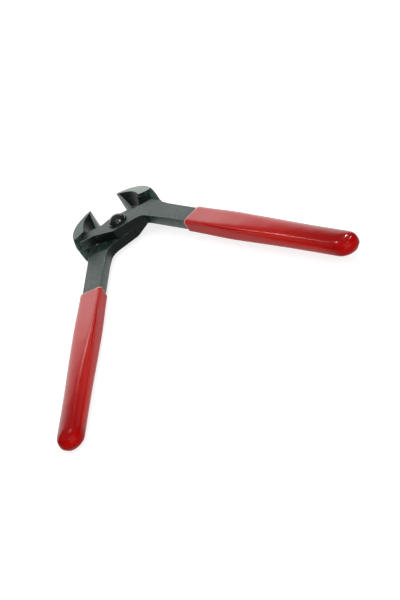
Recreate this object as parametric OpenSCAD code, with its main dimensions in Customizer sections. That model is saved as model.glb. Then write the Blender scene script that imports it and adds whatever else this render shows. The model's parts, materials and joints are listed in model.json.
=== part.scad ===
// End-cutting nippers: two crossing forged levers on one rivet, with dipped grips.
// Both levers are the same forging. The lower one is turned half a turn about the tool's length.
// Each lever is drawn closed, with the pivot axis on Z, the jaws toward +Y and the lap face at Z 0.

/* [Lap joint] */
// Thickness of one lever at the joint
plate_t = 6.3; // [5:0.1:8]
// Gap between the two lapped faces
lap_gap = 0.1; // [0.04:0.02:0.2]
// Angle between the levers as drawn, counted from closed
opening = 38; // [0:1:52]
// Distance of the hub's corners from the pivot axis
hub_r = 10; // [9.4:0.1:11]
// Distance of the hub's corner at the shoulder side from the pivot axis
hub_back = 11.2; // [10.4:0.1:12]
// Distance of the hollow below the shoulder from the pivot axis
waist = 13.4; // [12.6:0.1:15]
// Distance of the neck's front hollow from the pivot axis
neck_front = 16.9; // [15:0.1:18]
// Distance of the neck's back hollow from the pivot axis
neck_back = 11.8; // [11:0.1:13]
// Radius of the hub's corners
hub_blend = 5; // [2:0.5:6]
// Radius of the hollows along the plate's edges
neck_blend = 7; // [3:0.5:8]
// Distance of the shoulder behind the pivot axis, outside the bar
shoulder = 8.2; // [7:0.2:11]
// Corner radius of the shoulder
shoulder_r = 1.2; // [0.8:0.2:4]
// Distance of the crotch behind the pivot axis, inside the bar
crotch = 13.8; // [12:0.2:16]
// Radius of the crotch
crotch_r = 10; // [6:0.5:12]
// Distance of the lap recess's end behind the pivot axis
recess = 16; // [14:0.5:19]

/* [Jaws] */
// Distance of the cutting edges in front of the pivot axis
tip_reach = 29.2; // [26:0.2:34]
// Length of the cutting edges, across the ground side faces
jaw_w = 19.2; // [17:0.2:26]
// Radius of the jaw's back at its side faces
jaw_r = 24.7; // [23:0.1:30]
// Swell of the jaw's back between its side faces
jaw_swell = 1.4; // [0:0.1:2.5]
// Distance of the centre of the jaw's back from the closing plane
jaw_offset = 2.8; // [2:0.1:5]
// Depth of the ground side face, from the cutting edge to its step
jaw_depth = 15; // [12:0.2:17]
// Angle of the inner bevel to the closing plane
bevel_angle = 38; // [30:1:50]
// Length of the inner bevel at the side faces
bevel_len = 1.2; // [0.8:0.1:3]
// Radius of the hollow behind the edge, at the side faces
hollow_r = 22; // [20:0.5:25]
// Distance of the hollow's centre beyond the closing plane
hollow_offset = 4; // [2:0.1:5]
// Distance of the hollow's root wall from the closing plane, on the half that has the plate
hollow_depth = 15.4; // [14:0.1:17]
// The same on the half that is clear of the plate
hollow_clear = 15; // [14:0.1:17]
// Draft of the hollow's wall
hollow_draft = 15; // [5:1:18]
// Radius of the jaw's rear corner on the half that is clear of the plate
jaw_round = 4; // [1:0.5:6]
// Radius of the jaw's rear corner on the half that has the plate
root_round = 2; // [1:0.5:4]
// Distance of the plate's front corner inside the jaw's back
root_set = 1.6; // [0:0.2:3]
// Radius of the ground side face's rear corners at the hollow and on the lobe
lobe_round = 3; // [1:0.5:4]
// Depth to which the jaw is cut back over the other lever's plate
undercut = 4; // [0.5:0.5:6]
// Thickness of the jaw's back that is left beside that cut
back_wall = 3.2; // [2:0.2:6]
// Distance of the lobe's end in front of the jaw's step
lobe_set = 0.6; // [0.2:0.2:2]
// Gap between the other lever's plate and the lobe that reaches over it
lobe_gap = 0.4; // [0.2:0.1:1]
// Gap between the cutting edges when closed
edge_gap = 0.2; // [0.1:0.05:0.5]

/* [Handles] */
// Distance of the grip ends behind the pivot axis, along the bar
handle_reach = 216.3; // [170:0.1:280]
// Distance of the bar's centre line from the pivot axis
bar_offset = 15.6; // [14:0.1:19]
// Angle of the bar to the tool's length when closed
bar_splay = 3.8; // [2:0.1:8]
// Width of the bar's flat faces
bar_w = 12.4; // [10:0.2:15]
// Thickness of the bar, which stands past the lap face
bar_t = 7; // [6.4:0.1:9]
// Height of the parting ridge along the bar's sides
bar_ridge = 0.5; // [0.1:0.1:1]

/* [Grips] */
// Bare length of bar, from the pivot axis to the mouth of the grip
grip_start = 60; // [45:0.5:80]
// Thickness of the dipped grip over the middle of the bar's faces
grip_wall = 1.7; // [1.5:0.1:3]
// Fullness of the grip's oval section, where 2 is an ellipse
grip_form = 3; // [2.7:0.1:5]
// Clearance between a grip and its bar
grip_fit = 0.05; // [0.02:0.01:0.1]

/* [Rivet] */
// Radius of the rivet's shank
rivet_r = 4; // [3:0.1:5]
// Running clearance of the shank in the levers and the washer
pivot_fit = 0.05; // [0.02:0.01:0.08]
// Radius of the domed head
head_r = 5.4; // [5:0.1:7]
// Height of the domed head
head_h = 3.5; // [2:0.1:4.5]
// Radius of the washer
washer_r = 6.1; // [5.6:0.1:8]
// Thickness of the washer
washer_t = 1; // [0.6:0.1:1.6]
// Running gap between the washer and the upper lever
washer_gap = 0.05; // [0.02:0.01:0.1]
// Radius of the peened end
peen_r = 5.6; // [5.2:0.1:7]
// Height of the peened end
peen_h = 1.8; // [1:0.1:3]

/* [Hidden] */
$fn = 96;

past = 1;
arc_step = 6;
swell_steps = 6;
oval_steps = 28;

lap_z = lap_gap / 2;
top_z = lap_z + plate_t;
bar_z = top_z - bar_t / 2;
half_w = jaw_w / 2;
// Height at which the jaw's two rear corners meet, inside the plate
root_z = lap_z + plate_t / 4;
// Height at which the lobe over the other lever's plate starts, below the lap face
lobe_z = -(top_z + lobe_gap);

// Centre of the jaw's back, whose arc passes through the cutting edge
jaw_c = [-jaw_offset, tip_reach - sqrt(jaw_r * jaw_r - jaw_offset * jaw_offset)];
// Slope of the back's tangent at the cutting edge
nose_tilt = asin(jaw_offset / jaw_r);
jaw_y = tip_reach - jaw_depth;
// Inner end of the bevel, where the hollow starts
bevel_end = [0, tip_reach] - bevel_len * [sin(bevel_angle), cos(bevel_angle)];
hollow_c = [hollow_offset, bevel_end.y - sqrt(pow(hollow_r, 2) - pow(hollow_offset - bevel_end.x, 2))];
hollow_mid_r = hollow_r - half_w * tan(hollow_draft);

bar_half = bar_w / 2;
grip_half = bar_half + grip_wall;
grip_half_t = bar_t / 2 + grip_wall;
// Centre of the round end, shared by a bar and its grip
round_end = handle_reach - grip_half;
grip_nose = bar_point(round_end, 0);

tip_y = tip_reach * cos(opening / 2) - edge_gap / 2 * sin(opening / 2);
tail_y = turned(grip_nose, opening / 2).y - grip_half;
pivot_y = -(tip_y + tail_y) / 2;

// Point on the bar, by distance along it from the pivot and distance outward from its centre line
function bar_point(along, out) =
    [bar_offset + along * sin(bar_splay) + out * cos(bar_splay),
     out * sin(bar_splay) - along * cos(bar_splay)];
// The same in the other direction, from a point to its place on the bar
function along_bar(p) = turned(p - [bar_offset, 0], 180 - bar_splay);
function polar(c, r, a) = c + r * [cos(a), sin(a)];
function turned(p, a) = [p.x * cos(a) - p.y * sin(a), p.x * sin(a) + p.y * cos(a)];
function unit(v) = v / norm(v);
function xy(p) = [p.x, p.y];

// Corner b of an outline that runs from a to c, rounded to radius r
function corner(a, b, c, r) =
    r == 0 ? [b] :
    let (u = unit(a - b), v = unit(c - b), half = acos(u * v) / 2)
    let (centre = b + unit(u + v) * r / sin(half), start = b + u * r / tan(half) - centre)
    let (sweep = 180 - 2 * half, side = sign(cross(v, u)), n = max(2, ceil(sweep / arc_step)))
    [for (i = [0 : n]) centre + turned(start, side * sweep * i / n)];

// Outline from corners given as [x, y, radius]
function rounded(p) =
    let (n = len(p))
    [for (i = [0 : n - 1]) each corner(xy(p[(i + n - 1) % n]), xy(p[i]), xy(p[(i + 1) % n]), p[i].z)];

function with_r(p, r) = [p.x, p.y, r];

// Bearings about the pivot axis of the hub's corners and of the neck's and the waist's hollows
hub_front_a = 215;
hub_top_a = 87;
hub_back_a = 13;
waist_a = -9;
neck_front_a = 157;
neck_back_a = 119;
// Bearings about the jaw's and the hollow's centres of the plate's end inside the jaw
root_a = 157;
root_back_a = 141;
root_hollow_a = 154;

// Depth to which the plate's tail is let into the bar
tuck = bar_ridge;
// Half widths of the plate's tail, which is proud of the bar's ridge at the root and ends inside the bar
root_half = bar_half + bar_ridge + tuck;
tail_half = bar_half - tuck;
tail_end = crotch + 2 * crotch_r;

// Outline of the lap plate: bar root, hub and neck to the jaw
plate_outline = rounded([
    with_r(bar_point(tail_end, -tail_half), 0),
    with_r(bar_point(crotch, -root_half), crotch_r),
    with_r(polar([0, 0], hub_r, hub_front_a), hub_blend),
    with_r(polar([0, 0], neck_front, neck_front_a), neck_blend),
    with_r(polar(jaw_c, jaw_r - root_set, root_a), root_round),
    with_r(polar(jaw_c, jaw_r, root_back_a), 0),
    with_r(polar(hollow_c, hollow_r, root_hollow_a), 0),
    with_r(polar([0, 0], neck_back, neck_back_a), neck_blend),
    with_r(polar([0, 0], hub_r, hub_top_a), hub_blend),
    with_r(polar([0, 0], hub_back, hub_back_a), hub_blend),
    with_r(polar([0, 0], waist, waist_a), neck_blend),
    with_r(bar_point(shoulder, root_half), shoulder_r),
    with_r(bar_point(recess + 2 * tuck, root_half), 0),
    with_r(bar_point(tail_end, tail_half), 0)
]);

// Lap plate of one lever, drawn along the bar so that their upper faces are one plane
module plate() {
    on_bar()
        translate([0, 0, lap_z - bar_z])
            linear_extrude(plate_t)
                polygon([for (p = plate_outline) along_bar(p)]);
}

// Places children along the bar: local Y runs to the grip's end, local X across the bar
module on_bar() {
    translate([bar_offset, 0, bar_z])
        rotate(180 + bar_splay)
            children();
}

// Right half of the bar's section with its parting ridge, grown by a clearance
function bar_side(grow = 0) =
    let (x = bar_half + grow, y = bar_t / 2 + grow)
    [[0, -y], [x, -y], [x + bar_ridge, 0], [x, y], [0, y]];

// Right half of the grip's oval section
function grip_side() =
    [for (i = [-oval_steps / 2 : oval_steps / 2])
        let (a = 180 * i / oval_steps, k = 2 / grip_form)
        [grip_half * pow(cos(a), k), grip_half_t * sign(a) * pow(abs(sin(a)), k)]];

// Rod along the bar from a distance behind the pivot to the round end, from half of its section
module rod(from, side) {
    on_bar() {
        translate([0, from, 0])
            rotate([-90, 0, 0])
                linear_extrude(round_end - from) {
                    polygon(side);
                    mirror([1, 0])
                        polygon(side);
                }
        translate([0, round_end, 0])
            rotate_extrude()
                polygon(side);
    }
}

// Swollen back of the jaw, as a body of revolution
module jaw_back() {
    profile = [for (i = [-swell_steps : swell_steps])
        let (s = i / swell_steps)
        [jaw_r + jaw_swell * (1 - s * s), s * half_w]];
    translate(jaw_c)
        rotate_extrude()
            polygon(concat([[0, -half_w]], profile, [[0, half_w]]));
}

// Hollow behind the cutting edge, narrowest between the side faces
module hollow() {
    for (side = [0, 1]) {
        depth = side == 0 ? hollow_depth : hollow_clear;
        intersection() {
            translate(hollow_c)
                mirror([0, 0, side])
                    cylinder(h = half_w + past, r1 = hollow_mid_r,
                             r2 = hollow_mid_r + (half_w + past) * tan(hollow_draft));
            translate([-depth, 0, -jaw_w])
                cube([depth, tip_reach, 2 * jaw_w]);
        }
    }
}

// Room of the jaw in front of a step, with the corner at the jaw's back rounded
module jaw_room(from, to, step_y, round) {
    back_r = jaw_r + jaw_swell;
    root = asin((step_y - jaw_c.y) / back_r);
    step = [jaw_c.x - back_r * cos(root), step_y];
    above = step + jaw_r * [sin(root), cos(root)];
    translate([0, 0, from])
        linear_extrude(to - from)
            polygon(rounded([[-edge_gap / 2, step_y, 0], [-edge_gap / 2, above.y, 0],
                             with_r(above, 0), with_r(step, round)]));
}

// Waste at the corner between the hollow's root wall and the step
module lobe_waste(from, to, wall, step_y) {
    translate([0, 0, from])
        linear_extrude(to - from)
            polygon(concat(
                corner([wall, tip_reach], [wall, step_y], [wall - jaw_w, step_y], lobe_round),
                [[wall - lobe_round, step_y - past], [wall + lobe_round, step_y - past],
                 [wall + lobe_round, step_y + lobe_round]]));
}

// Back of the jaw beside the other lever's plate
module jaw_wall() {
    difference() {
        jaw_room(lobe_z, root_z, jaw_y, jaw_round);
        translate([jaw_c.x, jaw_c.y, lobe_z - past])
            cylinder(h = root_z - lobe_z + 2 * past, r = jaw_r - back_wall);
    }
}

// Hooked jaw with its ground nose and inner bevel
module jaw() {
    span = 2 * jaw_r;
    difference() {
        intersection() {
            jaw_back();
            union() {
                jaw_room(root_z, jaw_w, jaw_y, root_round);
                jaw_room(lobe_z, root_z, jaw_y + undercut, jaw_round);
                jaw_wall();
                jaw_room(-jaw_w, lobe_z, jaw_y + lobe_set, lobe_round);
            }
            translate([0, tip_reach, -jaw_w])
                rotate(-nose_tilt)
                    translate([-span, -span, 0])
                        cube([2 * span, span, 2 * jaw_w]);
        }
        hollow();
        lobe_waste(root_z, jaw_w, -hollow_depth, jaw_y);
        lobe_waste(-jaw_w, lobe_z, -hollow_clear, jaw_y + lobe_set);
        translate([0, tip_reach, -jaw_w])
            rotate(-bevel_angle)
                translate([0, -span, 0])
                    cube([span, 2 * span, 2 * jaw_w]);
    }
}

// One forged lever, closed, as the upper one
module lever() {
    difference() {
        union() {
            plate();
            rod(recess, bar_side());
            jaw();
        }
        translate([0, 0, -past])
            cylinder(h = top_z + 2 * past, r = rivet_r + pivot_fit);
    }
}

// Dipped grip over the end of the bar
module grip() {
    difference() {
        rod(grip_start, grip_side());
        rod(grip_start - past, bar_side(grip_fit));
    }
}

// Puts a closed upper piece where the open tool has it, resting on its jaws
module upper_place() {
    translate([0, pivot_y, half_w])
        rotate(opening / 2)
            children();
}

// The same for a lower piece, which is the upper one turned over
module lower_place() {
    translate([0, pivot_y, half_w])
        rotate(-opening / 2)
            rotate([0, 180, 0])
                children();
}

module lower_lever() {
    color("darkslategray")
        lower_place()
            lever();
}

module upper_lever() {
    color("darkslategray")
        upper_place()
            lever();
}

// Rivet with a spherical dome above the washer and a conical peened end below
module pivot_rivet() {
    seat = top_z + washer_gap + washer_t;
    dome_r = (head_r * head_r + head_h * head_h) / (2 * head_h);
    color("black")
        translate([0, pivot_y, half_w]) {
            translate([0, 0, -top_z])
                cylinder(h = top_z + seat, r = rivet_r);
            translate([0, 0, seat])
                intersection() {
                    translate([0, 0, head_h - dome_r])
                        sphere(dome_r);
                    cylinder(h = head_h + past, r = head_r);
                }
            translate([0, 0, -top_z - peen_h])
                cylinder(h = peen_h, r1 = rivet_r, r2 = peen_r);
        }
}

module rivet_washer() {
    color("black")
        translate([0, pivot_y, half_w + top_z + washer_gap])
            difference() {
                cylinder(h = washer_t, r = washer_r);
                translate([0, 0, -past])
                    cylinder(h = washer_t + 2 * past, r = rivet_r + pivot_fit);
            }
}

module lower_grip() {
    color("firebrick")
        lower_place()
            grip();
}

module upper_grip() {
    color("firebrick")
        upper_place()
            grip();
}

lower_lever();
upper_lever();
pivot_rivet();
rivet_washer();
lower_grip();
upper_grip();
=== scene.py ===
import bpy
import json
import math
from mathutils import Matrix, Vector

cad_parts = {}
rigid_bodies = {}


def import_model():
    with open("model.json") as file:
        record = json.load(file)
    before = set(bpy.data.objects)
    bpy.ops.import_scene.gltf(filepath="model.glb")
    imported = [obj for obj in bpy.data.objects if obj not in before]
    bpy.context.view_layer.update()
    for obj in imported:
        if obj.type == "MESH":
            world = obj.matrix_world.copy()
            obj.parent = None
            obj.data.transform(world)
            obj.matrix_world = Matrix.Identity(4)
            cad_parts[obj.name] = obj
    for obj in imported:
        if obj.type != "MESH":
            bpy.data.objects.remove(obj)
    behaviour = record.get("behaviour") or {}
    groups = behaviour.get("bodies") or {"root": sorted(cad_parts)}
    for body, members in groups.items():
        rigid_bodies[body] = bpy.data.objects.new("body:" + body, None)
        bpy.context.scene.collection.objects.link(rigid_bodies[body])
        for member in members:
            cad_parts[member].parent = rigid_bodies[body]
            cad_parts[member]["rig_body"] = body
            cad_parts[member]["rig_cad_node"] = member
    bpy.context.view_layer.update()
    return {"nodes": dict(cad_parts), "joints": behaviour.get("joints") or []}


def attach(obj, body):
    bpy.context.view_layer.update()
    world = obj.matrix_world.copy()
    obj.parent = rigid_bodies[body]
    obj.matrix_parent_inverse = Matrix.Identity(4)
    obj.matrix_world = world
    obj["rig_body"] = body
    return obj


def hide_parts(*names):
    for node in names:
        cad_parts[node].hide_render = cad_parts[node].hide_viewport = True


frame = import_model()

mm = 0.001
pivot = Vector(frame["joints"][0]["pos_m"])  # rivet axis at the lap plane
jawHalf = pivot.z  # half the length of the cutting edges
halves = {"lower": -1, "upper": 1}  # side to which each half is turned
rest = {  # degrees, and mm with the tool closed
    "halfOpening": 19, "tip": 29.2, "bevel": 38,
    "barOffset": 15.6, "barRise": 2.85, "splay": 3.8,
    "mouth": 60, "reach": 216.3,  # along the bar, from beside the pivot to the grip's two ends
}


def inMetres(span):
    return [value * mm for value in span]


def turned(x, y, side):  # from the upper lever drawn closed to its place in the tool, or mirrored
    angle = math.radians(rest["halfOpening"])
    across = x * math.cos(angle) - y * math.sin(angle)
    ahead = x * math.sin(angle) + y * math.cos(angle)
    return Vector((side * across, ahead, 0))


def edgePlane(side):  # cutting edge, the bevel's normal and its way inward
    angle = math.radians(rest["bevel"])
    edge = pivot + turned(0, rest["tip"], side) * mm
    normal = turned(math.cos(angle), -math.sin(angle), side)
    inward = turned(-math.sin(angle), -math.cos(angle), side)
    return edge, normal, inward


def barLine(side):  # start of the bar's centre line beside the pivot, and its way to the grip's end
    angle = math.radians(rest["splay"])
    start = pivot + (turned(rest["barOffset"], 0, side) + Vector((0, 0, side * rest["barRise"]))) * mm
    return start, turned(math.sin(angle), -math.cos(angle), side)


# camera, from the photograph

view = {
    "elevation": 26.95, "azimuth": -2.50, "roll": 32.58,  # degrees
    "aim": (10.645, -138.39, 0), "distance": 2000,  # mm, with the aim from the pivot
    "focal": 3453.2, "longSide": 600,  # pixels
    "sensor": 36, "farthest": 20,  # mm and m
}


def addCamera(s):
    el, az, roll = (math.radians(s[k]) for k in ("elevation", "azimuth", "roll"))
    back = Vector((math.sin(az) * math.cos(el), -math.cos(az) * math.cos(el), math.sin(el)))
    side = Vector((math.cos(az), math.sin(az), 0))
    rise = back.cross(side)
    right = math.cos(roll) * side - math.sin(roll) * rise
    up = math.sin(roll) * side + math.cos(roll) * rise
    place = pivot + (Vector(s["aim"]) + back * s["distance"]) * mm
    data = bpy.data.cameras.new("photoCamera")
    data.sensor_width = s["sensor"]
    data.lens = s["focal"] * s["sensor"] / s["longSide"]
    data.clip_end = s["farthest"]
    camera = bpy.data.objects.new("photoCamera", data)
    bpy.context.scene.collection.objects.link(camera)
    turn = Matrix((right, up, back)).transposed().to_4x4()
    camera.matrix_world = Matrix.Translation(place) @ turn
    bpy.context.scene.camera = camera


addCamera(view)
print("camera set")


# shader maths

class Wire:
    # one socket of a node tree; operators add Math nodes
    def __init__(self, tree, socket):
        self.tree, self.socket = tree, socket

    def math(self, operation, *others):
        inputs = dict(enumerate((self,) + others))
        return addNode(self.tree, "ShaderNodeMath", {"operation": operation}, inputs)

    def __add__(self, other):
        return self.math("ADD", other)

    def __sub__(self, other):
        return self.math("SUBTRACT", other)

    def __rsub__(self, other):
        return (self * -1).math("ADD", other)

    def __mul__(self, other):
        return self.math("MULTIPLY", other)

    def __abs__(self):
        return self.math("ABSOLUTE")

    __radd__ = __add__
    __rmul__ = __mul__

    def ramp(self, low, high):  # 0 to 1 between two values
        return addNode(self.tree, "ShaderNodeMapRange", {"interpolation_type": "SMOOTHSTEP"},
                       {"Value": self, "From Min": low, "From Max": high})

    def twin(self, output):  # another output of the same node
        return Wire(self.tree, self.socket.node.outputs[output])


def addNode(tree, kind, settings=None, inputs=None, output=0):
    node = tree.nodes.new(kind)
    for key, value in (settings or {}).items():
        setattr(node, key, value)
    for key, value in (inputs or {}).items():
        if isinstance(value, Wire):
            tree.links.new(value.socket, node.inputs[key])
        else:
            node.inputs[key].default_value = value
    return Wire(tree, node.outputs[output]) if node.outputs else None


def startMaterial(name):
    material = bpy.data.materials.new(name)
    material.use_nodes = True
    tree = material.node_tree
    tree.nodes.clear()
    return material, tree


def closeMaterial(tree, surface):
    addNode(tree, "ShaderNodeOutputMaterial", None, {"Surface": surface})


def coat(tree, inputs):
    return addNode(tree, "ShaderNodeBsdfPrincipled", None, inputs)


def mixCoats(tree, factor, first, second):
    return addNode(tree, "ShaderNodeMixShader", None, {0: factor, 1: first, 2: second})


def objectPlace(tree, scale=(1, 1, 1)):
    coords = addNode(tree, "ShaderNodeTexCoord", output="Object")
    return addNode(tree, "ShaderNodeMapping", None, {"Vector": coords, "Scale": scale})


def attribute(tree, name):
    return addNode(tree, "ShaderNodeAttribute", {"attribute_name": name}, output="Fac")


def axes(tree, vector):
    split = addNode(tree, "ShaderNodeSeparateXYZ", None, {"Vector": vector})
    return [split.twin(k) for k in "XYZ"]


def noise(tree, vector, scale, detail):
    return addNode(tree, "ShaderNodeTexNoise", None, {"Vector": vector, "Scale": scale, "Detail": detail})


def mixColour(tree, factor, first, second):  # a Mix node's colour sockets are told apart by number
    return addNode(tree, "ShaderNodeMix", {"data_type": "RGBA"}, {0: factor, 6: first, 7: second}, output=2)


def bump(tree, height, distance):
    return addNode(tree, "ShaderNodeBump", None, {"Height": height, "Distance": distance, "Strength": 1})


# finishes

forging = {
    "paint": (0.002, 0.010, 0.008, 1), "paintLight": (0.007, 0.020, 0.016, 1),
    # the lighter colour on eased edges is partly real paint wear, partly a painted highlight along the edges
    "speck": (0.06, 0.085, 0.076, 1), "sheen": (0.74, 1, 0.89, 1), "worn": (0.2, 0.22, 0.21, 1),
    "steel": (0.47, 0.475, 0.455, 1), "steelDark": (0.35, 0.355, 0.34, 1),
    # the near-black, dull coat below is painted shade on upright faces near the pivot and in the jaw hollows
    "honed": (0.18, 0.2, 0.19, 1), "jointShade": (0.004, 0.006, 0.006, 1),
    "grain": (560, 4), "patch": (160, 3), "grindLines": (2600, 2),  # scale and detail of each noise
    "lineStretch": (1, 0.06, 1), "lineRelief": 0.5, "relief": 0.08,  # relief in mm, and the lines' share
    "speckAt": (0.45, 0.6), "speckShare": 0.45, "wornAt": (0.3, 0.65),  # noise levels
    "bevelDepth": (0.05, 0.12), "bevelReach": (8, 9),  # mm from the bevel's plane and from the edge
    "band": (1.8, 2.2), "bandSlope": 0.6,  # mm from the edge, and how it widens away from the side faces
    "faceDepth": (0.12, 0.02), "ground": {"lower": 0.55, "upper": 0.1},  # side faces: mm, share of bare steel
    "jointShadeReach": (18, 29), "wornHighlightReach": (28, 45), "hollowShade": 0.8,  # mm from the pivot
    "paintRough": 0.28, "patchRough": 0.12, "grainRough": 0.16, "paintShine": 0.4,
    "steelRough": 0.26, "lineRough": 0.2, "metal": 0.95,
    "jointShadeRough": 0.22, "jointShadePatch": 0.1, "jointShadeShine": 0.12,
}


def forgedFinish(half, s):
    material, tree = startMaterial("forgedPaint" + half.title())
    place = objectPlace(tree)
    x, y, z = axes(tree, place)
    grain = noise(tree, place, *s["grain"])
    patch = noise(tree, place, *s["patch"])
    lines = noise(tree, objectPlace(tree, s["lineStretch"]), *s["grindLines"])
    hollow = attribute(tree, "hollow")

    # masks
    edge, normal, inward = edgePlane(halves[half])
    fromBevel = abs((x - edge.x) * normal.x + (y - edge.y) * normal.y)
    fromEdge = (x - edge.x) * inward.x + (y - edge.y) * inward.y
    fromMiddle = abs(z - pivot.z)
    onBevel = 1 - fromBevel.ramp(*inMetres(s["bevelDepth"]))
    onBevel = onBevel * (1 - fromEdge.ramp(*inMetres(s["bevelReach"])))
    band = 1 - (fromEdge - s["bandSlope"] * (jawHalf - fromMiddle)).ramp(*inMetres(s["band"]))
    honed = onBevel.math("MAXIMUM", band * hollow)
    # the lower half's side faces mix in far more bare steel than the upper half's, so they read lighter
    ground = s["ground"][half] * fromMiddle.ramp(*(jawHalf - depth for depth in inMetres(s["faceDepth"])))
    away = (x - pivot.x) * (x - pivot.x) + (y - pivot.y) * (y - pivot.y)  # squared

    def nearPivot(reach):
        return 1 - away.ramp(*(value ** 2 for value in inMetres(reach)))

    # eased edges near the pivot get a lighter colour in patches: partly real paint wear, partly a painted
    # highlight along the edges
    worn = attribute(tree, "eased") * patch.ramp(*s["wornAt"]) * nearPivot(s["wornHighlightReach"])
    # painted shade: a dark, dull coat on upright faces near the pivot and on the jaw hollows' faces, kept off
    # the honed band
    shadedMask = attribute(tree, "upright") * nearPivot(s["jointShadeReach"])
    shadedMask = shadedMask.math("MAXIMUM", s["hollowShade"] * hollow) * (1 - honed)

    # colours and coats
    paint = mixColour(tree, patch, s["paint"], s["paintLight"])
    paint = mixColour(tree, s["speckShare"] * grain.ramp(*s["speckAt"]), paint, s["speck"])
    paint = mixColour(tree, worn, paint, s["worn"])
    paint = mixColour(tree, honed, paint, s["honed"])
    steel = mixColour(tree, lines, s["steelDark"], s["steel"])
    paintRough = s["paintRough"] + s["patchRough"] * patch + s["grainRough"] * grain
    steelRough = s["steelRough"] + s["lineRough"] * lines
    relief = bump(tree, grain * (1 - ground) + lines * ground * s["lineRelief"], s["relief"] * mm)
    dry = coat(tree, {
        "Base Color": mixColour(tree, ground, paint, steel),
        "Metallic": s["metal"] * ground,
        "Roughness": paintRough * (1 - ground) + steelRough * ground,
        "Specular IOR Level": s["paintShine"],
        "Specular Tint": s["sheen"],
        "Normal": relief,
    })
    # the painted shade's coat: near black and barely reflective
    shadeCoat = coat(tree, {
        "Base Color": s["jointShade"],
        "Roughness": s["jointShadeRough"] + s["jointShadePatch"] * patch,
        "Specular IOR Level": s["jointShadeShine"],
        "Normal": relief,
    })
    closeMaterial(tree, mixCoats(tree, shadedMask, dry, shadeCoat))
    return material


dip = {
    # the darker red toward the grip's far end is painted shade where less light falls on the tops
    "red": (0.52, 0.012, 0.008, 1), "redDeep": (0.46, 0.009, 0.007, 1),
    "redEndShade": (0.33, 0.002, 0.002, 1), "lipHighlight": (0.8, 0.32, 0.27, 1),
    # the pale lip colour is a painted highlight along the mouth's rounded rim
    "lipHighlightAt": (0.004, 0.008), "endShadeAt": (0.45, 0.95), "domeAt": (0.84, 0.94),  # shares of the grip's length
    "patch": (40, 2), "wave": (70, 1), "peel": (900, 2),  # scale and detail of each noise
    "relief": 0.12, "peelRelief": 0.03,  # mm, and the peel's share
    "rough": 0.12, "peelRough": 0.06,
    "shineTop": 0.19, "shineSide": 0.05,
    "rimAt": (0.6, 0.95), "dullAt": (0.1, 0.9), "dullShare": 0.85,  # turned from the eye, and along the grip
}


def dipFinish(name, s):
    material, tree = startMaterial(name)
    place = objectPlace(tree)
    patch, wave, peel = (noise(tree, place, *s[k]) for k in ("patch", "wave", "peel"))
    along, upright = (attribute(tree, k) for k in ("along", "upright"))
    # the tops darken toward the far end as painted shade; the sides keep their red up to the dome
    sideRed = upright * (1 - along.ramp(*s["domeAt"]))  # the sides keep their red up to the dome
    colour = mixColour(tree, patch, s["redDeep"], s["red"])
    colour = mixColour(tree, along.ramp(*s["endShadeAt"]) * (1 - sideRed), colour, s["redEndShade"])
    # a pale rim at the mouth: painted highlight on the mouth's edge
    colour = mixColour(tree, 1 - along.ramp(*s["lipHighlightAt"]), colour, s["lipHighlight"])
    look = {
        "Base Color": colour,
        "Roughness": s["rough"] + s["peelRough"] * peel,
        "Normal": bump(tree, wave + peel * s["peelRelief"], s["relief"] * mm),
    }
    top, flank = (coat(tree, {**look, "Specular IOR Level": s[k]}) for k in ("shineTop", "shineSide"))
    rim = addNode(tree, "ShaderNodeLayerWeight", output="Facing").ramp(*s["rimAt"])
    dull = upright.math("MAXIMUM", rim).math("MAXIMUM", s["dullShare"] * along.ramp(*s["dullAt"]))
    closeMaterial(tree, mixCoats(tree, dull, top, flank))
    return material


rivetLook = {
    "black": (0.006, 0.008, 0.009, 1), "worn": (0.02, 0.023, 0.024, 1),
    "grain": (500, 3), "wornAt": (0.45, 0.75), "rough": 0.16, "grainRough": 0.08, "shine": 0.3,
    "angle": 40,  # degrees up to which edges shade smooth
}


def rivetFinish(name, s):
    material, tree = startMaterial(name)
    grain = noise(tree, objectPlace(tree), *s["grain"])
    closeMaterial(tree, coat(tree, {
        "Base Color": mixColour(tree, grain.ramp(*s["wornAt"]), s["black"], s["worn"]),
        "Roughness": s["rough"] + s["grainRough"] * grain,
        "Specular IOR Level": s["shine"],
    }))
    return material


# copies of the CAD solids with eased edges

merging = {"gap": 0.02, "flat": 0.2}  # mm between doubles, and degrees between faces that join
easing = {
    "foldAngle": 150, "foldReach": 0.5,  # degrees at which faces fold over, and mm around that stay sharp
    "flat": 0.8, "upright": 0.3,  # rise of the normal on a face that lies flat, and on one that stands
}


def mergedCopy(node, name):
    bpy.ops.object.select_all(action="DESELECT")
    source = frame["nodes"][node]
    piece = source.copy()
    piece.data = source.data.copy()
    piece.data.materials.append(None)  # marks the eased faces
    piece.name = piece.data.name = name
    piece.parent = None
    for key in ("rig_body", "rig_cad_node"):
        del piece[key]
    bpy.context.scene.collection.objects.link(piece)
    bpy.context.view_layer.objects.active = piece
    piece.select_set(True)
    bpy.ops.object.mode_set(mode="EDIT")
    bpy.ops.mesh.select_all(action="SELECT")
    bpy.ops.mesh.remove_doubles(threshold=merging["gap"] * mm)
    bpy.ops.mesh.dissolve_limited(angle_limit=math.radians(merging["flat"]))
    bpy.ops.object.mode_set(mode="OBJECT")
    bpy.ops.mesh.customdata_custom_splitnormals_clear()
    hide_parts(node)
    return piece


def creased(normals, angle):
    return len(normals) == 2 and normals[0].angle(normals[1], 0) > math.radians(angle)


def foldedPlaces(mesh):  # ends of the edges at which faces turn back on each other
    mesh.calc_loop_triangles()
    beside = {}
    for part in mesh.loop_triangles:
        for pair in ((0, 1), (1, 2), (2, 0)):
            key = tuple(sorted(part.vertices[k] for k in pair))
            beside.setdefault(key, []).append(part.normal)
    folded = [key for key, normals in beside.items() if creased(normals, easing["foldAngle"])]
    return [mesh.vertices[k].co.copy() for key in folded for k in key]


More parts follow.
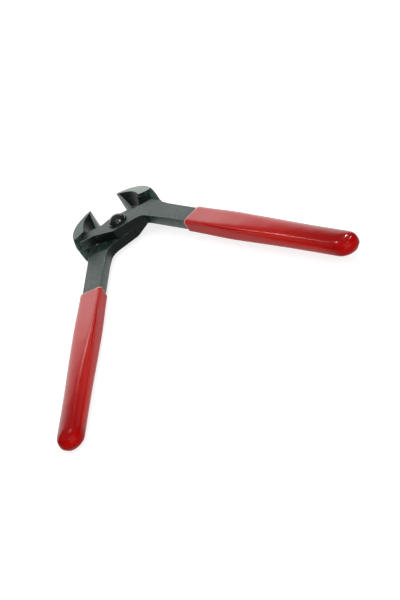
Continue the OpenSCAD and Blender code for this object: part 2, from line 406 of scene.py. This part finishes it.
def easeWeights(mesh, s, keen):  # 1 for each edge to ease, which is a crease with both ends named by keen
    beside = {edge.key: [] for edge in mesh.edges}
    for face in mesh.polygons:
        for key in face.edge_keys:
            beside[key].append(face.normal)
    weights = [0.0] * len(mesh.edges)
    for edge in mesh.edges:
        if creased(beside[edge.key], s["angle"]):
            weights[edge.index] = min(keen(mesh.vertices[k].co) for k in edge.vertices)
    return weights


def easeEdges(piece, s, keen):  # rounds the edges that keen names, apart from those that would fold over
    plain, name = piece.data, piece.data.name
    weights = easeWeights(plain, s, keen)
    reach = (s["ease"] + easing["foldReach"]) * mm
    leftSharp = 0

    def near(edge, places):
        return any((plain.vertices[k].co - place).length < reach for k in edge.vertices for place in places)

    while True:
        piece.data = plain.copy()
        piece.data.attributes.new("bevel_weight_edge", "FLOAT", "EDGE").data.foreach_set("value", weights)
        ease = piece.modifiers.new("ease", "BEVEL")
        ease.limit_method, ease.width, ease.segments = "WEIGHT", s["ease"] * mm, s["steps"]
        ease.use_clamp_overlap, ease.material = False, 1
        bpy.ops.object.modifier_apply(modifier=ease.name)
        folded = foldedPlaces(piece.data)
        spoiled = [edge.index for edge in plain.edges if weights[edge.index] and near(edge, folded)]
        if not spoiled:
            break
        for index in spoiled:
            weights[index] = 0.0
        leftSharp += len(spoiled)
        trial, piece.data = piece.data, plain
        bpy.data.meshes.remove(trial)
    bpy.data.meshes.remove(plain)
    mesh = piece.data
    mesh.name = name
    eased = mesh.attributes.new("eased", "FLOAT", "FACE")
    upright = mesh.attributes.new("upright", "FLOAT", "FACE")
    for face in mesh.polygons:
        stand = (easing["flat"] - abs(face.normal.z)) / (easing["flat"] - easing["upright"])
        eased.data[face.index].value = face.material_index
        upright.data[face.index].value = min(1, max(0, stand))
        face.material_index = 0
    bpy.ops.object.shade_smooth_by_angle(angle=math.radians(s["angle"]))
    print(name, "eased,", leftSharp, "edges left sharp")


leverShape = {
    "angle": 28, "ease": 0.3, "steps": 2, "edgeReach": 0.6,  # degrees and mm
    "left": (((-27.6, 6.8, -6.75), 3.8), ((-20, 12, -9.9), 1.5)),  # upper lever's thin steps, and reach
    "behind": (0.1, 20), "inward": (-2, 16), "margin": 0.6, "facing": 0.15,  # the jaw's hollow, from its edge
}


def makeLever(half, s):
    side = halves[half]
    piece = mergedCopy(half + "_lever", half + "Forging")
    edge, normal, inward = edgePlane(side)

    def keen(place):  # the cutting edge and the thin steps stay sharp
        off = (place - pivot) / mm
        off = Vector((off.x * side, off.y, off.z * side))
        onEdge = (place - edge).xy.length < s["edgeReach"] * mm
        return 0 if onEdge or any((off - Vector(spot)).length < reach for spot, reach in s["left"]) else 1

    def inHollow(face):
        off = (face.center - edge) / mm
        within = s["behind"][0] < -off.dot(normal) < s["behind"][1]
        within = within and s["inward"][0] < off.dot(inward) < s["inward"][1]
        within = within and abs(off.z) < jawHalf / mm - s["margin"]
        return within and face.normal.dot(normal) > s["facing"]

    easeEdges(piece, s, keen)
    flat = piece.modifiers.new("flat", "WEIGHTED_NORMAL")  # wide faces shade flat up to their eased edges
    flat.keep_sharp = True
    bpy.ops.object.modifier_apply(modifier=flat.name)
    hollow = [float(inHollow(face)) for face in piece.data.polygons]
    piece.data.attributes.new("hollow", "FLOAT", "FACE").data.foreach_set("value", hollow)
    return piece


gripShape = {
    "angle": 65, "ease": 0.6, "steps": 3, "rim": 0.2,  # degrees and mm
    "rings": (61.5, 64, 68, 74, 82, 92, 104, 118, 132, 146,
              160, 172, 182, 190, 196, 200, 203, 206),  # mm along the bar
    "half": (7.9, 5.2), "bore": (6.8, 4.1),  # the CAD section and its bore
    "mouthForm": 8, "endForm": 2.6, "formReach": 0.9, "formFade": 2,  # from boxy to oval
    "swell": 0.05, "tuck": (0.06, 0.13), "tuckReach": 0.3,  # fuller at the end, slimmer at the mouth
    "dome": 11, "domeForm": 2.3, "cover": (6.6, 3.9),  # the round end, and the bar's end within it
    "leastLeft": 0.05, "leastSize": 0.02, "most": 2,  # bounds on the change
}


def smooth(value):
    value = min(1, max(0, value))
    return value * value * (3 - 2 * value)


def gripShare(along):  # 0 at the mouth and 1 at the end
    return (along - rest["mouth"]) / (rest["reach"] - rest["mouth"])


def gripChange(along, aside, rise, g):  # mm by which the dip leaves the CAD surface, across and up
    share = gripShare(along)
    tucked = 1 - smooth(share / g["tuckReach"])
    sides = zip((aside, rise), g["half"], g["tuck"])
    u, v = (abs(off) / half / (1 - tuck * tucked) for off, half, tuck in sides)
    boxy = (1 - smooth(share / g["formReach"])) ** g["formFade"]
    form = g["endForm"] + (g["mouthForm"] - g["endForm"]) * boxy
    size = 1 + g["swell"] * smooth(share)
    left = max(rest["reach"] - along, g["leastLeft"])
    if left < g["dome"]:
        size *= (1 - (1 - left / g["dome"]) ** g["domeForm"]) ** (1 / g["domeForm"])
    grow = size / max((u ** form + v ** form) ** (1 / form), g["leastSize"])
    past = max(0, g["half"][0] - left)
    if math.hypot(aside * grow, past) < g["cover"][0] and abs(rise) > g["cover"][1]:
        grow = max(grow, g["cover"][1] / abs(rise))  # the bar's end stays covered
    return aside * (grow - 1), rise * (grow - 1)


def makeGrip(half, g):
    start, way = barLine(halves[half])
    across = Vector((-way.y, way.x, 0))
    piece = mergedCopy(half + "_grip", half + "Dip")
    bpy.ops.object.mode_set(mode="EDIT")
    for along in g["rings"]:
        bpy.ops.mesh.select_all(action="SELECT")
        bpy.ops.mesh.bisect(plane_co=start + way * along * mm, plane_no=way)
    bpy.ops.object.mode_set(mode="OBJECT")

    def offsets(place):  # mm along, across and above the bar's centre line
        off = (place - start) / mm
        return off.dot(way), off.dot(across), off.z

    def beyondBore(aside, rise):
        return abs(aside) >= g["bore"][0] or abs(rise) >= g["bore"][1]

    shares, moves = [], []
    for vertex in piece.data.vertices:
        along, aside, rise = offsets(vertex.co)
        outer = beyondBore(aside, rise) or along >= rest["reach"] - g["half"][0]
        change = gripChange(along, aside, rise, g) if outer else (0, 0)  # the bore keeps its fit on the bar
        shares.append(gripShare(along))
        moves.append(across * change[0] + Vector((0, 0, change[1])))
    piece.data.attributes.new("along", "FLOAT", "POINT").data.foreach_set("value", shares)
    for axis, letter in enumerate("XYZ"):
        for sign, name in ((1, "fill"), (-1, "trim")):
            group = piece.vertex_groups.new(name=name + letter)
            for index, move in enumerate(moves):
                if sign * move[axis] > 0:
                    group.add([index], min(1, sign * move[axis] / g["most"]), "REPLACE")
            mend = piece.modifiers.new(group.name, "DISPLACE")
            mend.direction, mend.mid_level, mend.strength = letter, 0, sign * g["most"] * mm
            mend.vertex_group = group.name
            bpy.ops.object.modifier_apply(modifier=mend.name)

    def keen(place):  # only the mouth's outer rim is eased
        along, aside, rise = offsets(place)
        return 1 if beyondBore(aside, rise) and along < rest["mouth"] + g["rim"] else 0

    easeEdges(piece, g, keen)
    return piece


leverPaint = {half: forgedFinish(half, forging) for half in halves}
gripDip = dipFinish("redDip", dip)
rivetBlack = rivetFinish("rivetBlack", rivetLook)

for half in halves:
    lever, grip = makeLever(half, leverShape), makeGrip(half, gripShape)
    for piece, finish, slot in ((lever, leverPaint[half], "lever_steel"), (grip, gripDip, "grip_plastic")):
        piece.data.materials.clear()
        piece.data.materials.append(finish)
        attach(piece, half + "_half")
    print(half, "half done,", len(lever.data.polygons), "lever faces,", len(grip.data.polygons), "grip faces")

rivet = mergedCopy("pivot_rivet", "headedRivet")
bpy.ops.object.shade_smooth_by_angle(angle=math.radians(rivetLook["angle"]))
rivet.data.materials.clear()
rivet.data.materials.append(rivetBlack)
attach(rivet, frame["nodes"]["pivot_rivet"]["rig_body"])
frame["nodes"]["rivet_washer"].material_slots[0].material = rivetBlack
print("rivet done")


# floor, world and lamps

room = {
    "floorSize": 6, "floorDrop": 0.2,  # m and mm
    "paper": 0.55, "white": 0.72,  # the floor's own grey, and what it adds for the eye
    "dark": 0.13, "bright": 0.6, "brightWay": (0, 0.1, 0.995), "brightAt": (0.5, 1),  # world: bright above
}


def addedWhite(tree, shader):  # seen by the eye and in reflections, but not lighting the object
    camera = addNode(tree, "ShaderNodeLightPath", output="Is Camera Ray")
    glossy, through = (camera.twin(k) for k in ("Is Glossy Ray", "Is Transmission Ray"))
    seen = camera.math("MAXIMUM", glossy).math("MAXIMUM", through)
    white = addNode(tree, "ShaderNodeEmission", None, {"Color": (1, 1, 1, 1), "Strength": room["white"]})
    both = addNode(tree, "ShaderNodeAddShader", None, {0: shader, 1: white})
    return mixCoats(tree, seen, shader, both)


def addFloor():
    bpy.ops.object.select_all(action="DESELECT")
    bpy.ops.mesh.primitive_plane_add(size=room["floorSize"], location=(0, 0, -room["floorDrop"] * mm))
    floor = bpy.context.object
    floor.name = "floor"
    material, tree = startMaterial("floorWhite")
    grey = room["paper"]
    paper = addNode(tree, "ShaderNodeBsdfDiffuse", None, {"Color": (grey, grey, grey, 1)})
    closeMaterial(tree, addedWhite(tree, paper))
    floor.data.materials.append(material)


def addWorld():
    world = bpy.data.worlds.new("studio")
    bpy.context.scene.world = world
    world.use_nodes = True
    tree = world.node_tree
    tree.nodes.clear()
    coords = addNode(tree, "ShaderNodeTexCoord", output="Generated")
    x, y, z = (axis * part for axis, part in zip(axes(tree, coords), room["brightWay"]))
    strength = room["dark"] + (room["bright"] - room["dark"]) * (x + y + z).ramp(*room["brightAt"])
    sky = addNode(tree, "ShaderNodeBackground", None, {"Color": (1, 1, 1, 1), "Strength": strength})
    addNode(tree, "ShaderNodeOutputWorld", None, {"Surface": sky})


lamps = {  # place and aim in m, size in m, radiance
    "overhead": ((0.05, -0.55, 0.95), (0, 0, 0), (0.9, 0.6), 1.9),
    "front": ((0.1, -1.25, 0.5), (0, 0, 0), (1.6, 0.8), 3.7),
    "panel": ((0, 0.46, 0.13), (0, 0, 0.13), (0.9, 0.26), 2.2),
    "panelEdge": ((0, 0.46, 0.27), (0, 0, 0.27), (0.9, 0.02), 0.6),
}
sparks = {  # the same, and the one shiny piece in which it is seen
    "wingLeft": ((-0.25, 0.35, 0.22), (0.06, -0.03, 0.02), (0.3, 0.28), 0.7, "upperDip"),
    "wingRight": ((0.25, 0.35, 0.22), (-0.06, -0.03, 0.02), (0.3, 0.28), 0.7, "lowerDip"),
    "lineLeft": ((0.008, 0.395, 0.268), (-0.059, -0.028, 0.012), (0.09, 0.02), 7, "lowerDip"),
    "lineRight": ((-0.088, 0.302, 0.327), (0.07, -0.056, 0.017), (0.02, 0.02), 50, "upperDip"),
    "dotLeft": ((-0.05, 0.317, 0.438), (-0.092, -0.103, 0.012), (0.03, 0.03), 200, "lowerDip"),
    "dotRight": ((0.258, 0.309, 0.421), (0.098, -0.105, 0.017), (0.05, 0.05), 160, "upperDip"),
    "dotRightSmall": ((-0.032, 0.284, 0.457), (0.091, -0.105, 0.017), (0.04, 0.04), 120, "upperDip"),
    "glint": ((0.578, -0.748, 0.8), (0, 0, 0), (0.1, 0.1), 300, "headedRivet"),
}


def addLamp(name, place, aim, size, radiance, only=None):
    data = bpy.data.lights.new(name, "AREA")
    data.shape, data.size, data.size_y = "RECTANGLE", size[0], size[1]
    data.energy = radiance * math.pi * size[0] * size[1]
    lamp = bpy.data.objects.new(name, data)
    bpy.context.scene.collection.objects.link(lamp)
    lamp.location = place
    lamp.rotation_euler = (Vector(aim) - Vector(place)).to_track_quat("-Z", "Y").to_euler()
    lamp.visible_camera = False
    if only:
        lamp.visible_diffuse = False
        lamp.light_linking.receiver_collection = bpy.data.collections.new(name)
        lamp.light_linking.receiver_collection.objects.link(bpy.data.objects[only])


addFloor()
addWorld()
for name, settings in {**lamps, **sparks}.items():
    addLamp(name, *settings)
print("stage done")

scene = bpy.context.scene
scene.view_settings.view_transform = "Standard"
